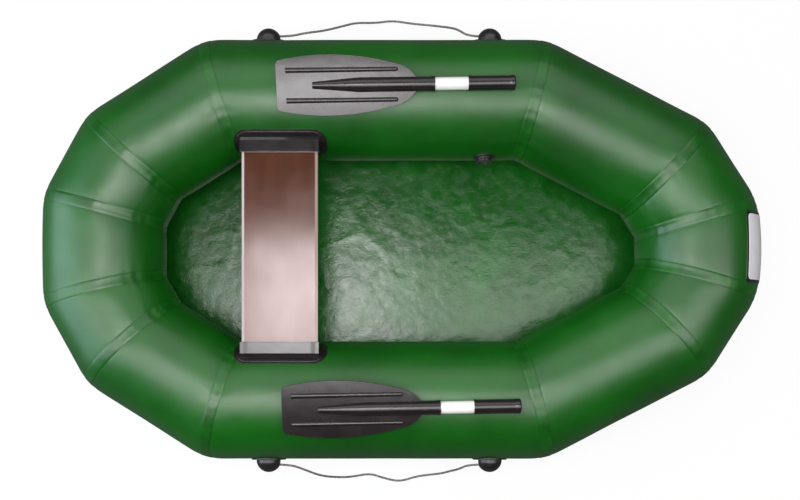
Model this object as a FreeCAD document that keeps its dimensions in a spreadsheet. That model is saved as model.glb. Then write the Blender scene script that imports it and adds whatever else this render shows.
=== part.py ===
import FreeCAD, Part
import math
import os
import Sketcher
from FreeCAD import Placement, Rotation, Vector

# One-man inflatable rowing boat. Millimetres and degrees. The bow is +X, port is +Y, up is +Z,
# and the origin is on the ground under the middle of the boat.

doc = FreeCAD.newDocument("rowing_boat")

# Driving sizes, kept in the sheet
drivingSizes = {
    # inflated ring, measured on its tubes' centreline
    "ringLength": 1585,
    "ringWidth": 805,
    "tubeDiameter": 315,
    "bowTaper": 443.5,
    "sternTaper": 319.5,
    "bowEndRun": 166,
    "sternEndRun": 212,
    "bowKnuckleAlongShare": 0.193,
    "bowKnuckleOutShare": 0.422,
    "sternKnuckleAlongShare": 0.246,
    "sternKnuckleOutShare": 0.484,
    "seamTapeWidth": 29,
    "seamTapeThick": 1,
    "seamTapeFoot": 8,
    "glueLine": 0.1,
    "overrun": 20,
    # floor
    "floorThick": 1,
    "floorFlap": 12,
    # seat, its pads' aft edge set out from the stern shoulder
    "padFromShoulder": 41.5,
    "boardWidth": 196,
    "boardThick": 10,
    "boardAngle": 50.5,
    "boardBevelWidth": 7,
    "boardBevelDrop": 4,
    "slotSlack": 0.3,
    "padLength": 241,
    "padThick": 3,
    "padLipThick": 1.2,
    "padLipWidth": 6,
    "padTopAngle": 40.5,
    "padFootAngle": 77,
    "padCorner": 38,
    "holderLength": 203,
    "holderOverhang": 0.5,
    "holderWall": 5,
    "holderBevelWidth": 9,
    "holderBevelDrop": 3,
    "holderHeel": 20,
    "holderBack": 1.5,
    "holderRibThick": 7,
    "holderRibSkin": 3,
    "holderCrownInset": 20,
    "holderCrownRamp": 11,
    "holderCrownRise": 2.5,
    # rope holders and lifelines, set out from the shoulders
    "aftHolderFromShoulder": 119,
    "foreHolderFromShoulder": 109,
    "domeRadius": 33,
    "domeHeight": 37,
    "domeSkirt": 8,
    "domeFlatPlace": 29,
    "flangeRadius": 46,
    "flangeThick": 2.5,
    "ropeDiameter": 6,
    "ropeOut": 17,
    "ropeSlack": 0.5,
    "tunnelBottom": 8,
    "ropeExitRun": 48,
    # valves
    "valveFromShoulder": 125,
    "valvePortRise": 7,
    "valveStarboardRise": -8,
    "valveRadius": 29,
    "valveFlangeThick": 3,
    "valveNeckRadius": 22,
    "valveNeckHeight": 7,
    "capRadius": 20,
    "capThick": 5,
    "capBarWidth": 7,
    "capBarDepth": 3,
    "capRim": 3,
    "capNotchCount": 12,
    "capNotchRadius": 1.5,
    # bow patch, between the two tapes of the bow end
    "patchWidth": 184,
    "patchTopAngle": 57,
    "patchFootAngle": -22,
    "patchBorder": 6,
    "patchThick": 0.8,
    "patchGlue": 0.3,
    "patchCorner": 6,
    # paddles, laid down beside the seat
    "paddlePortFromSeat": -2,
    "paddleStarboardFromSeat": -16,
    "paddlePortYaw": 0.8,
    "paddleStarboardYaw": 1.1,
    "paddleRoll": 9,
    "bladeLength": 363,
    "bladeHalfWidth": 73.5,
    "bladeTipCorner": 12,
    "bladeThick": 4,
    "bladeCamber": 420,
    "ribWidth": 13.5,
    "ribTailWidth": 11.5,
    "spineRadius": 8.5,
    "socketRadius": 17.8,
    "socketOut": 32,
    "collarRadius": 19,
    "collarWidth": 9,
    "collarRingWidth": 2,
    "collarRingGap": 4,
    "socketDepth": 50,
    "shaftRadius": 16,
    "shaftWall": 1.5,
    "shaftShow": 83,
    "gripLength": 117,
    "gripRadius": 19,
    "gripEndWall": 6,
    "gripRound": 5,
    "gripFlare": 1,
    "sleeveSlack": 0.15,
    "restGap": 0.3,
}

dims = doc.addObject("Spreadsheet::Sheet", "dims")
for row, (alias, number) in enumerate(drivingSizes.items(), start=1):
    dims.set(f"A{row}", alias)
    dims.set(f"B{row}", str(number))
    dims.setAlias(f"B{row}", alias)
doc.recompute()


def value(expression):
    # number that an expression over the sheets' cells gives
    answer = dims.evalExpression(expression)
    return float(getattr(answer, "Value", answer))


# Working values that several pieces share
tubeLevel = value("dims.floorThick + dims.glueLine + dims.tubeDiameter / 2")
sideLine = value("dims.ringWidth / 2")
endLine = value("dims.ringLength / 2")
cutReach = value("dims.tubeDiameter + dims.overrun")


def taperCorners(end, taper, endRun, alongShare, outShare):
    # shoulder, knuckle and end corner of one tapered end on the port side; the shares place the
    # knuckle along the taper from the end, and out from the end corner to the side
    endOut = value(f"dims.{endRun} / 2")
    along = value(f"dims.{taper}")
    knuckleOut = endOut + value(f"dims.{outShare}") * (sideLine - endOut)
    return (Vector(end * (endLine - along), sideLine, 0),
            Vector(end * (endLine - value(f"dims.{alongShare}") * along), knuckleOut, 0),
            Vector(end * endLine, endOut, 0))


# Corners of the ring's centreline, named, anticlockwise from above
bowShoulder, bowKnuckle, bowEnd = taperCorners(
    1, "bowTaper", "bowEndRun", "bowKnuckleAlongShare", "bowKnuckleOutShare")
sternShoulder, sternKnuckle, sternEnd = taperCorners(
    -1, "sternTaper", "sternEndRun", "sternKnuckleAlongShare", "sternKnuckleOutShare")
portCorners = [
    ("bow_end", bowEnd),
    ("bow_quarter", bowKnuckle),
    ("bow_shoulder", bowShoulder),
    ("stern_shoulder", sternShoulder),
    ("stern_quarter", sternKnuckle),
    ("stern_end", sternEnd),
]

# Places along the boat that hang on the shoulders
seatPlace = sternShoulder.x + value("dims.padFromShoulder + dims.padLength / 2")
aftHolderPlace = sternShoulder.x + value("dims.aftHolderFromShoulder")
foreHolderPlace = bowShoulder.x - value("dims.foreHolderFromShoulder")
valvePlace = bowShoulder.x - value("dims.valveFromShoulder")

corners = [(name + "_port", point) for name, point in portCorners]
corners += [(name + "_starboard", Vector(point.x, -point.y, 0)) for name, point in reversed(portCorners)]
panelNames = [
    "tube_bow_quarter_port",
    "tube_bow_shoulder_port",
    "tube_side_port",
    "tube_stern_shoulder_port",
    "tube_stern_quarter_port",
    "tube_stern_end",
    "tube_stern_quarter_starboard",
    "tube_stern_shoulder_starboard",
    "tube_side_starboard",
    "tube_bow_shoulder_starboard",
    "tube_bow_quarter_starboard",
    "tube_bow_end",
]


def heading(start, end):
    return math.degrees(math.atan2(end.y - start.y, end.x - start.x))


# Worked-out run of each panel and turn of each corner, in a second sheet
ring = doc.addObject("Spreadsheet::Sheet", "ring")
panelHeading = []
cornerTurn = []
cornerHeading = []
for number, (cornerName, here) in enumerate(corners):
    after = corners[(number + 1) % len(corners)][1]
    before = corners[number - 1][1]
    panelHeading.append(heading(here, after))
    turn = (heading(here, after) - heading(before, here)) % 360
    cornerTurn.append(turn)
    cornerHeading.append(heading(here, after) - turn / 2)
    ring.set(f"A{number + 1}", str(here.distanceToPoint(after)))
    ring.setAlias(f"A{number + 1}", "run_" + panelNames[number])
    ring.set(f"B{number + 1}", str(turn))
    ring.setAlias(f"B{number + 1}", "turn_" + cornerName)
doc.recompute()

nodes = []


def bind(thing, **expressions):
    for name, expression in expressions.items():
        thing.setExpression(name, expression)


def newBody(label):
    body = doc.addObject("PartDesign::Body", label)
    body.Label = label
    nodes.append(body)
    return body


def originPlane(body, role):
    return next(feature for feature in body.Origin.OriginFeatures if feature.Role == role)


def newSketch(body, role, name, offset=Placement()):
    sketch = body.newObject("Sketcher::SketchObject", name)
    sketch.AttachmentSupport = [(originPlane(body, role), "")]
    sketch.MapMode = "FlatFace"
    sketch.AttachmentOffset = offset
    return sketch


def tie(sketch, kind, *places, expression):
    index = sketch.addConstraint(Sketcher.Constraint(kind, *places, value(expression)))
    sketch.setExpression(f"Constraints[{index}]", expression)


def arcBetween(start, end, radius, turn):
    # the shorter arc from start to end, turning left (1) or right (-1)
    chord = end - start
    rise = math.sqrt(max(radius ** 2 - (chord.Length / 2) ** 2, 0))
    side = Vector(-chord.y, chord.x, 0).normalize() * turn
    centre = (start + end) / 2 + side * rise
    circle = Part.Circle(centre, Vector(0, 0, 1), radius)
    first, last = (start, end) if turn > 0 else (end, start)
    firstAngle = math.atan2(first.y - centre.y, first.x - centre.x)
    lastAngle = math.atan2(last.y - centre.y, last.x - centre.x)
    return Part.ArcOfCircle(circle, firstAngle, lastAngle)


def drawOutline(sketch, outline):
    # closed outline: each point is (across, up), or (across, up, radius, turn) where an arc leaves it
    points = [Vector(value(point[0]), value(point[1]), 0) for point in outline]
    ends = []
    for number, point in enumerate(outline):
        start = points[number]
        end = points[(number + 1) % len(points)]
        if len(point) == 2:
            index = sketch.addGeometry(Part.LineSegment(start, end), False)
            ends.append((index, 1, 2))
        else:
            index = sketch.addGeometry(arcBetween(start, end, value(point[2]), point[3]), False)
            ends.append((index, 1, 2) if point[3] > 0 else (index, 2, 1))
    for number, (index, first, last) in enumerate(ends):
        nextIndex, nextFirst, nextLast = ends[(number + 1) % len(ends)]
        sketch.addConstraint(Sketcher.Constraint("Coincident", index, last, nextIndex, nextFirst))
    for (index, first, last), point in zip(ends, outline):
        tie(sketch, "DistanceX", -1, 1, index, first, expression=point[0])
        tie(sketch, "DistanceY", -1, 1, index, first, expression=point[1])
        if len(point) == 4:
            tie(sketch, "Radius", index, expression=point[2])


def drawCircle(sketch, across, up, radius):
    circle = Part.Circle(Vector(value(across), value(up), 0), Vector(0, 0, 1), value(radius))
    index = sketch.addGeometry(circle, False)
    tie(sketch, "DistanceX", -1, 1, index, 3, expression=across)
    tie(sketch, "DistanceY", -1, 1, index, 3, expression=up)
    tie(sketch, "Radius", index, expression=radius)


def drawRounded(sketch, halfAcross, halfUp, radius):
    # rectangle about the origin with rounded corners
    inAcross = f"(({halfAcross}) - ({radius}))"
    inUp = f"(({halfUp}) - ({radius}))"
    drawOutline(sketch, [
        (inAcross, f"-({halfUp})", radius, 1),
        (halfAcross, f"-{inUp}"),
        (halfAcross, inUp, radius, 1),
        (inAcross, halfUp),
        (f"-{inAcross}", halfUp, radius, 1),
        (f"-({halfAcross})", inUp),
        (f"-({halfAcross})", f"-{inUp}", radius, 1),
        (f"-{inAcross}", f"-({halfUp})"),
    ])


def drawFrame(sketch, halfAcross, halfUp):
    drawOutline(sketch, [
        (f"-({halfAcross})", f"-({halfUp})"),
        (halfAcross, f"-({halfUp})"),
        (halfAcross, halfUp),
        (f"-({halfAcross})", halfUp),
    ])


def addPad(body, sketch, length, side="Symmetric"):
    pad = body.newObject("PartDesign::Pad", sketch.Name + "_pad")
    pad.Profile = sketch
    pad.SideType = side
    bind(pad, Length=length)
    return pad


def addRevolution(body, sketch, axis):
    turned = body.newObject("PartDesign::Revolution", sketch.Name + "_turned")
    turned.Profile = sketch
    turned.ReferenceAxis = (sketch, [axis])
    turned.Angle = 360
    return turned


def addPocket(body, sketch, length=None, side="Symmetric", reverse=False):
    # a pocket that has to take material away
    doc.recompute()
    before = body.Shape.Volume
    pocket = body.newObject("PartDesign::Pocket", sketch.Name + "_pocket")
    pocket.Profile = sketch
    pocket.SideType = side
    pocket.Reversed = reverse
    if length:
        bind(pocket, Length=length)
    else:
        pocket.Type = "ThroughAll"
    doc.recompute()
    if not body.Shape.Volume < before:
        raise RuntimeError(sketch.Name + " cuts nothing")
    return pocket


def addBoxCut(body, name, low, turn, pivot, length, width, height):
    # takes a box away: its low corner is set out from the pivot, then turned about the vertical there
    box = body.newObject("PartDesign::SubtractiveBox", name)
    bind(box, Length=length, Width=width, Height=height)
    spin = Rotation(Vector(0, 0, 1), turn)
    box.Placement = Placement(pivot + spin.multVec(low), spin)
    return box


def addTubeCut(body, name, radius, reach):
    # clears a piece off the tube that it sits on, whose axis is the piece's own X axis
    cut = body.newObject("PartDesign::SubtractiveCylinder", name)
    bind(cut, Radius=radius, Height=f"2 * ({reach})")
    cut.Placement = Placement(Vector(-value(reach), 0, 0), Rotation(Vector(0, 1, 0), 90))
    return cut


# Inflated ring: twelve mitred panels, round over the outside of each corner

ringRadius = "dims.tubeDiameter / 2"
cutSize = "dims.tubeDiameter + dims.overrun"


def makePanel(number):
    label = panelNames[number]
    run = f"ring.run_{label}"
    body = newBody(label)
    sketch = newSketch(body, "XY_Plane", label + "_profile")
    drawOutline(sketch, [
        (f"-{ringRadius}", "0", ringRadius, -1),
        ("0", ringRadius),
        (run, ringRadius, ringRadius, -1),
        (f"{run} + {ringRadius}", "0"),
    ])
    addRevolution(body, sketch, "H_Axis")
    nextTurn = cornerTurn[(number + 1) % len(corners)]
    addBoxCut(body, label + "_mitre_start", Vector(-cutReach, -cutReach, -cutReach), -cornerTurn[number] / 2,
              Vector(), cutSize, f"2 * ({cutSize})", f"2 * ({cutSize})")
    addBoxCut(body, label + "_mitre_end", Vector(0, -cutReach, -cutReach), nextTurn / 2,
              Vector(value(run), 0, 0), cutSize, f"2 * ({cutSize})", f"2 * ({cutSize})")
    start = corners[number][1]
    body.Placement = Placement(Vector(start.x, start.y, tubeLevel),
                               Rotation(Vector(0, 0, 1), panelHeading[number]))


for number in range(len(panelNames)):
    makePanel(number)

# Seam tapes, glued over each mitre, stopping above the floor's glued edge

padInner = f"({ringRadius} + dims.glueLine)"
padOuter = f"({ringRadius} + dims.glueLine + dims.padThick)"
tapeRadius = f"({ringRadius} + dims.seamTapeThick + dims.glueLine)"


def bracketPlacement(place, side):
    spin = 180 if side > 0 else 0
    return Placement(Vector(place, side * sideLine, tubeLevel), Rotation(Vector(0, 0, 1), spin))


def addPadNotch(body, home, side):
    # clears the tape off the seat pad, which lies over it: a box in the pad's own frame
    notch = body.newObject("PartDesign::SubtractiveBox", body.Label + "_notch")
    halfHeight = f"({padOuter} * sin((dims.padFootAngle - dims.padTopAngle) / 2 * 1 deg) + dims.padThick)"
    halfLength = "(dims.padLength / 2 + dims.padThick / 2)"
    bind(notch, Length=f"2 * {halfLength}", Width=f"2 * {halfHeight}", Height=cutSize)
    facing = Rotation(Vector(1, 0, 0), -value("(dims.padTopAngle + dims.padFootAngle) / 2"))
    low = Placement(Vector(-value(halfLength), -value(halfHeight), 0), Rotation())
    bracket = bracketPlacement(seatPlace, side)
    notch.Placement = home.inverse() * bracket * Placement(Vector(), facing) * low


def makeSeamTape(number):
    name, corner = corners[number]
    body = newBody("seam_tape_" + name)
    tilt = Placement(Vector(), Rotation(Vector(0, 0, 1), cornerTurn[number] / 2))
    sketch = newSketch(body, "XY_Plane", body.Label + "_profile", tilt)
    drawOutline(sketch, [
        (f"-{tapeRadius}", "0", tapeRadius, -1),
        ("0", tapeRadius),
        (cutSize, tapeRadius),
        (cutSize, padInner),
        ("0", padInner, padInner, 1),
        (f"-{padInner}", "0"),
    ])
    addRevolution(body, sketch, "H_Axis")
    halfWidth = value("dims.seamTapeWidth / 2")
    addBoxCut(body, body.Label + "_mitre", Vector(-cutReach, -cutReach, -cutReach), 0, Vector(),
              cutSize, f"2 * ({cutSize})", f"2 * ({cutSize})")
    addBoxCut(body, body.Label + "_edge", Vector(halfWidth, -cutReach, -cutReach), 0, Vector(),
              f"2 * ({cutSize})", f"2 * ({cutSize})", f"2 * ({cutSize})")
    mirror = body.newObject("PartDesign::Mirrored", body.Label + "_halves")
    mirror.TransformMode = "Whole shape"
    mirror.MirrorPlane = (originPlane(body, "YZ_Plane"), [""])
    body.Tip = mirror
    foot = value(f"dims.seamTapeFoot - {ringRadius} - dims.glueLine") - cutReach
    addBoxCut(body, body.Label + "_foot", Vector(-cutReach, -cutReach, foot), 0, Vector(),
              f"2 * ({cutSize})", f"2 * ({cutSize})", cutSize)
    home = Placement(Vector(corner.x, corner.y, tubeLevel), Rotation(Vector(0, 0, 1), cornerHeading[number]))
    if name.startswith("stern_shoulder"):
        addPadNotch(body, home, math.copysign(1, corner.y))
    body.Placement = home


for number in range(len(corners)):
    makeSeamTape(number)

# Floor sheet, glued under the ring along its lowest line


def makeFloor():
    body = newBody("floor_sheet")
    sketch = newSketch(body, "XY_Plane", "floor_outline")
    outline = []
    for number, (name, corner) in enumerate(corners):
        # the corner moves out along the line that halves its angle
        out = math.radians(cornerHeading[number] - 90)
        reach = value("dims.floorFlap") / math.cos(math.radians(cornerTurn[number] / 2))
        outline.append((str(corner.x + reach * math.cos(out)), str(corner.y + reach * math.sin(out))))
    drawOutline(sketch, outline)
    addPad(body, sketch, "dims.floorThick", "One side")


makeFloor()

# Seat: a board on edge pockets, each pocket on a pad glued to the tube.
# Bracket pieces are drawn from the tube's axis: own Y points inboard, own Z up.

boardRise = f"({ringRadius} * cos(dims.boardAngle * 1 deg))"
slotTop = f"({boardRise} + dims.boardThick / 2 + dims.slotSlack)"
slotFoot = f"({boardRise} - dims.boardThick / 2 - dims.slotSlack)"
slotBack = f"(sqrt({padOuter} ^ 2 - {slotFoot} ^ 2) + dims.holderBack)"
holderMouth = f"({ringRadius} + dims.holderOverhang)"


def polar(radius, angle):
    # point at a radius, its angle taken from straight up towards own +Y
    return f"{radius} * sin(({angle}) * 1 deg)", f"{radius} * cos(({angle}) * 1 deg)"


def drawShell(sketch, inner, outer, firstAngle, lastAngle):
    # strip of tube wall between two angles
    drawOutline(sketch, [
        polar(outer, firstAngle) + (outer, -1),
        polar(outer, lastAngle),
        polar(inner, lastAngle) + (inner, 1),
        polar(inner, firstAngle),
    ])


def makeSeatPad(label, side):
    body = newBody(label)
    facing = Placement(Vector(), Rotation(Vector(1, 0, 0), -value("(dims.padTopAngle + dims.padFootAngle) / 2")))
    halfHeight = f"{padOuter} * sin((dims.padFootAngle - dims.padTopAngle) / 2 * 1 deg)"
    # a thick middle inside a thin lip
    for name, thick, inset in (("middle", "dims.padThick", "dims.padLipWidth"), ("lip", "dims.padLipThick", "0")):
        shell = newSketch(body, "YZ_Plane", f"{label}_{name}")
        drawShell(shell, padInner, f"({padInner} + {thick})", "dims.padTopAngle", "dims.padFootAngle")
        addPad(body, shell, "dims.padLength")
        trim = newSketch(body, "XY_Plane", f"{label}_{name}_outline", facing)
        drawRounded(trim, f"dims.padLength / 2 - {inset}", f"{halfHeight} - {inset}", f"dims.padCorner - {inset}")
        drawFrame(trim, "dims.padLength / 2 + dims.overrun", f"{halfHeight} + dims.overrun")
        addPocket(body, trim)
    body.Placement = bracketPlacement(seatPlace, side)


def makeSeatHolder(label, side):
    body = newBody(label)
    section = newSketch(body, "YZ_Plane", label + "_section")
    top = f"({slotTop} + dims.holderWall)"
    foot = f"({slotFoot} - dims.holderWall)"
    heel = f"({foot} - dims.holderHeel)"
    shoulder = f"({top} - dims.holderBevelDrop)"
    shoulderBack = f"sqrt({padOuter} ^ 2 - {shoulder} ^ 2)"
    topBack = f"({shoulderBack} + dims.holderBevelWidth)"
    drawOutline(section, [
        (topBack, top),
        (shoulderBack, shoulder, padOuter, -1),
        (f"sqrt({padOuter} ^ 2 - {heel} ^ 2)", heel),
        (holderMouth, foot),
        (holderMouth, top),
    ])
    addPad(body, section, "dims.holderLength")
    # raised crown of the roof, ramped at both ends
    crownFace = Placement(Vector(0, 0, -value(holderMouth)), Rotation())
    crown = newSketch(body, "XZ_Plane", label + "_crown", crownFace)
    halfCrown = "(dims.holderLength / 2 - dims.holderCrownInset)"
    drawOutline(crown, [
        (f"-{halfCrown} - dims.holderCrownRamp", f"{top} - dims.holderWall / 2"),
        (f"{halfCrown} + dims.holderCrownRamp", f"{top} - dims.holderWall / 2"),
        (f"{halfCrown} + dims.holderCrownRamp", top),
        (halfCrown, f"{top} + dims.holderCrownRise"),
        (f"-{halfCrown}", f"{top} + dims.holderCrownRise"),
        (f"-{halfCrown} - dims.holderCrownRamp", top),
    ])
    addPad(body, crown, f"{holderMouth} - {topBack}", "One side")
    slot = newSketch(body, "YZ_Plane", label + "_slot")
    drawOutline(slot, [
        (slotBack, slotFoot),
        (f"{holderMouth} + dims.overrun", slotFoot),
        (f"{holderMouth} + dims.overrun", slotTop),
        (slotBack, slotTop),
    ])
    addPocket(body, slot, "dims.boardWidth + 2 * dims.slotSlack")
    # three windows under the slot leave four gussets
    ribFoot = newSketch(body, "XZ_Plane", label + "_windows", crownFace)
    bay = "((dims.holderLength - 4 * dims.holderRibThick) / 3)"
    for place in (-1, 0, 1):
        middle = f"{place} * ({bay} + dims.holderRibThick)"
        drawOutline(ribFoot, [
            (f"{middle} - {bay} / 2", f"{heel} - dims.overrun"),
            (f"{middle} + {bay} / 2", f"{heel} - dims.overrun"),
            (f"{middle} + {bay} / 2", f"{foot} - dims.holderRibSkin"),
            (f"{middle} - {bay} / 2", f"{foot} - dims.holderRibSkin"),
        ])
    addPocket(body, ribFoot)
    body.Placement = bracketPlacement(seatPlace, side)


def makeSeatBoard():
    body = newBody("seat_board")
    section = newSketch(body, "XZ_Plane", "board_section")
    halfWidth = "dims.boardWidth / 2"
    halfThick = "dims.boardThick / 2"
    drawOutline(section, [
        (f"-{halfWidth}", f"-{halfThick}"),
        (halfWidth, f"-{halfThick}"),
        (halfWidth, f"{halfThick} - dims.boardBevelDrop"),
        (f"{halfWidth} - dims.boardBevelWidth", halfThick),
        (f"-{halfWidth} + dims.boardBevelWidth", halfThick),
        (f"-{halfWidth}", f"{halfThick} - dims.boardBevelDrop"),
    ])
    addPad(body, section, f"dims.ringWidth - 2 * ({slotBack} + dims.slotSlack)")
    body.Placement = Placement(Vector(seatPlace, 0, tubeLevel + value(boardRise)), Rotation())


for sideName, side in (("port", 1), ("starboard", -1)):
    makeSeatPad("seat_pad_" + sideName, side)
    makeSeatHolder("seat_holder_" + sideName, side)
makeSeatBoard()

# Fittings on the tube are drawn from the tube's axis: own Z points out through the fitting


def fittingPlacement(place, side, rise, outboard, turned=False):
    # rise is the fitting's angle above the tube's widest line
    tilt = (90 - rise) * (-side if outboard else side)
    facing = Rotation(Vector(1, 0, 0), tilt)
    if turned:
        facing = facing.multiply(Rotation(Vector(0, 0, 1), 180))
    return Placement(Vector(place, side * sideLine, tubeLevel), facing)


def addFlange(body, label, radius, thick):
    # round flange that follows the tube
    inner = padInner
    outer = f"({padInner} + {thick})"
    halfAngle = f"asin(({radius} + dims.overrun / 2) / {inner}) / 1 deg"
    section = newSketch(body, "YZ_Plane", label + "_flange")
    drawShell(section, inner, outer, f"-({halfAngle})", f"({halfAngle})")
    addPad(body, section, f"2 * {radius} + dims.overrun")
    trim = newSketch(body, "XY_Plane", label + "_flange_trim")
    drawCircle(trim, "0", "0", radius)
    drawFrame(trim, f"{radius} + dims.overrun", f"{radius} + dims.overrun")
    addPocket(body, trim)


def makeRopeHolder(label, place, side, turned):
    body = newBody(label)
    dome = newSketch(body, "XZ_Plane", label + "_dome")
    crown = "(dims.domeHeight - dims.domeSkirt)"
    drawOutline(dome, [
        ("0", f"{padInner} + dims.domeHeight", f"(dims.domeRadius ^ 2 + {crown} ^ 2) / (2 * {crown})", -1),
        ("dims.domeRadius", f"{padInner} + dims.domeSkirt"),
        ("dims.domeRadius", f"{padInner} - dims.domeSkirt"),
        ("0", f"{padInner} - dims.domeSkirt"),
    ])
    addRevolution(body, dome, "V_Axis")
    # flat face that the rope comes out of
    low = Vector(value("dims.domeFlatPlace"), -value("dims.domeRadius"), value(f"{padInner} - dims.domeSkirt"))
    addBoxCut(body, label + "_flat", low, 0, Vector(), "dims.domeRadius", "2 * dims.domeRadius",
              "dims.domeHeight + 2 * dims.domeSkirt")
    addTubeCut(body, label + "_seat", f"{padInner} + dims.flangeThick / 2", "dims.flangeRadius")
    addFlange(body, label, "dims.flangeRadius", "dims.flangeThick")
    tunnelStart = Placement(Vector(0, 0, value("dims.tunnelBottom")), Rotation())
    tunnel = newSketch(body, "YZ_Plane", label + "_tunnel", tunnelStart)
    drawCircle(tunnel, "0", f"{padInner} + dims.ropeOut", "dims.ropeDiameter / 2 + dims.ropeSlack")
    addPocket(body, tunnel, side="One side", reverse=True)
    body.Placement = fittingPlacement(place, side, 0, True, turned)


def makeValve(sideName, place, side, rise):
    base = newBody("valve_base_" + sideName)
    neck = newSketch(base, "XZ_Plane", base.Label + "_neck")
    drawOutline(neck, [
        ("0", f"{padInner} - dims.valveNeckHeight"),
        ("dims.valveNeckRadius", f"{padInner} - dims.valveNeckHeight"),
        ("dims.valveNeckRadius", f"{padInner} + dims.valveNeckHeight"),
        ("0", f"{padInner} + dims.valveNeckHeight"),
    ])
    addRevolution(base, neck, "V_Axis")
    addTubeCut(base, base.Label + "_seat", f"{padInner} + dims.valveFlangeThick / 2", "dims.valveRadius")
    addFlange(base, base.Label, "dims.valveRadius", "dims.valveFlangeThick")
    base.Placement = fittingPlacement(place, side, rise, False)
    cap = newBody("valve_cap_" + sideName)
    capFoot = Placement(Vector(0, 0, value(f"{padInner} + dims.valveNeckHeight")), Rotation())
    disc = newSketch(cap, "XY_Plane", cap.Label + "_disc", capFoot)
    drawCircle(disc, "0", "0", "dims.capRadius")
    addPad(cap, disc, "dims.capThick", "One side")
    capTop = f"{padInner} + dims.valveNeckHeight + dims.capThick"
    hollows = newSketch(cap, "XY_Plane", cap.Label + "_hollows", Placement(Vector(0, 0, value(capTop)), Rotation()))
    inner = "(dims.capRadius - dims.capRim)"
    halfBar = "(dims.capBarWidth / 2)"
    halfChord = f"sqrt({inner} ^ 2 - {halfBar} ^ 2)"
    drawOutline(hollows, [
        (f"-{halfChord}", halfBar),
        (halfChord, halfBar, inner, 1),
        ("0", inner, inner, 1),
    ])
    drawOutline(hollows, [
        (halfChord, f"-{halfBar}"),
        (f"-{halfChord}", f"-{halfBar}", inner, 1),
        ("0", f"-{inner}", inner, 1),
    ])
    addPocket(cap, hollows, "dims.capBarDepth", "One side")
    notch = newSketch(cap, "XY_Plane", cap.Label + "_notch")
    drawCircle(notch, "dims.capRadius", "0", "dims.capNotchRadius")
    cut = addPocket(cap, notch)
    ringOfNotches = cap.newObject("PartDesign::PolarPattern", cap.Label + "_notches")
    ringOfNotches.Originals = [cut]
    ringOfNotches.Axis = (notch, ["N_Axis"])
    ringOfNotches.Angle = 360
    bind(ringOfNotches, Occurrences="dims.capNotchCount")
    cap.Tip = ringOfNotches
    cap.Placement = fittingPlacement(place, side, rise, False)


for sideName, side in (("port", 1), ("starboard", -1)):
    makeRopeHolder("rope_holder_aft_" + sideName, aftHolderPlace, side, False)
    makeRopeHolder("rope_holder_fore_" + sideName, foreHolderPlace, side, True)
makeValve("port", valvePlace, 1, value("dims.valvePortRise"))
makeValve("starboard", seatPlace, -1, value("dims.valveStarboardRise"))

# Blank patch on the bow: a dark border piece with a light face on it


def makePatch(label, inner, inset):
    body = newBody(label)
    outer = f"({inner} + dims.patchThick)"
    # the strip's angles from straight up, on the outboard side of the bow tube
    halfHeight = f"(({inner}) * sin((dims.patchTopAngle - dims.patchFootAngle) / 2 * 1 deg) - {inset})"
    section = newSketch(body, "YZ_Plane", label + "_section")
    drawShell(section, inner, outer, "90 - dims.patchTopAngle", "90 - dims.patchFootAngle")
    halfWidth = f"(dims.patchWidth / 2 - {inset})"
    addPad(body, section, f"2 * {halfWidth}")
    middle = value("90 - (dims.patchTopAngle + dims.patchFootAngle) / 2")
    facing = Placement(Vector(), Rotation(Vector(1, 0, 0), -middle))
    trim = newSketch(body, "XY_Plane", label + "_outline", facing)
    drawRounded(trim, halfWidth, halfHeight, "dims.patchCorner")
    drawFrame(trim, f"{halfWidth} + dims.overrun", f"{halfHeight} + dims.overrun")
    addPocket(body, trim)
    body.Placement = Placement(Vector(endLine, 0, tubeLevel), Rotation(Vector(0, 0, 1), -90))


makePatch("bow_patch_border", padInner, "0")
makePatch("bow_patch_face", f"({padInner} + dims.patchThick + dims.patchGlue)", "dims.patchBorder")

# Hand paddles: a moulded blade with its socket, a shaft tube and a grip.
# Own X runs from the blade's tip to the grip, and the shaft's axis is own X.


# shares of the blade's length and half width, along its outline from the tip
widestShare = 0.35
shoulderShare = 0.824
waistShare = 0.934
tipWidthShare = 0.838
shoulderWidthShare = 0.676
waistWidthShare = 0.378
ribStartShare = 0.066
ribEndShare = 0.837
ribPlaceShare = 0.494
spineStartShare = 0.248
spineFullShare = 0.562
shoulderArcShare = 1.6
neckArcShare = 2

socketEnd = "(dims.bladeLength + dims.socketOut)"
gripStart = f"({socketEnd} + dims.shaftShow)"
paddleLength = f"({gripStart} + dims.gripLength)"


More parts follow.
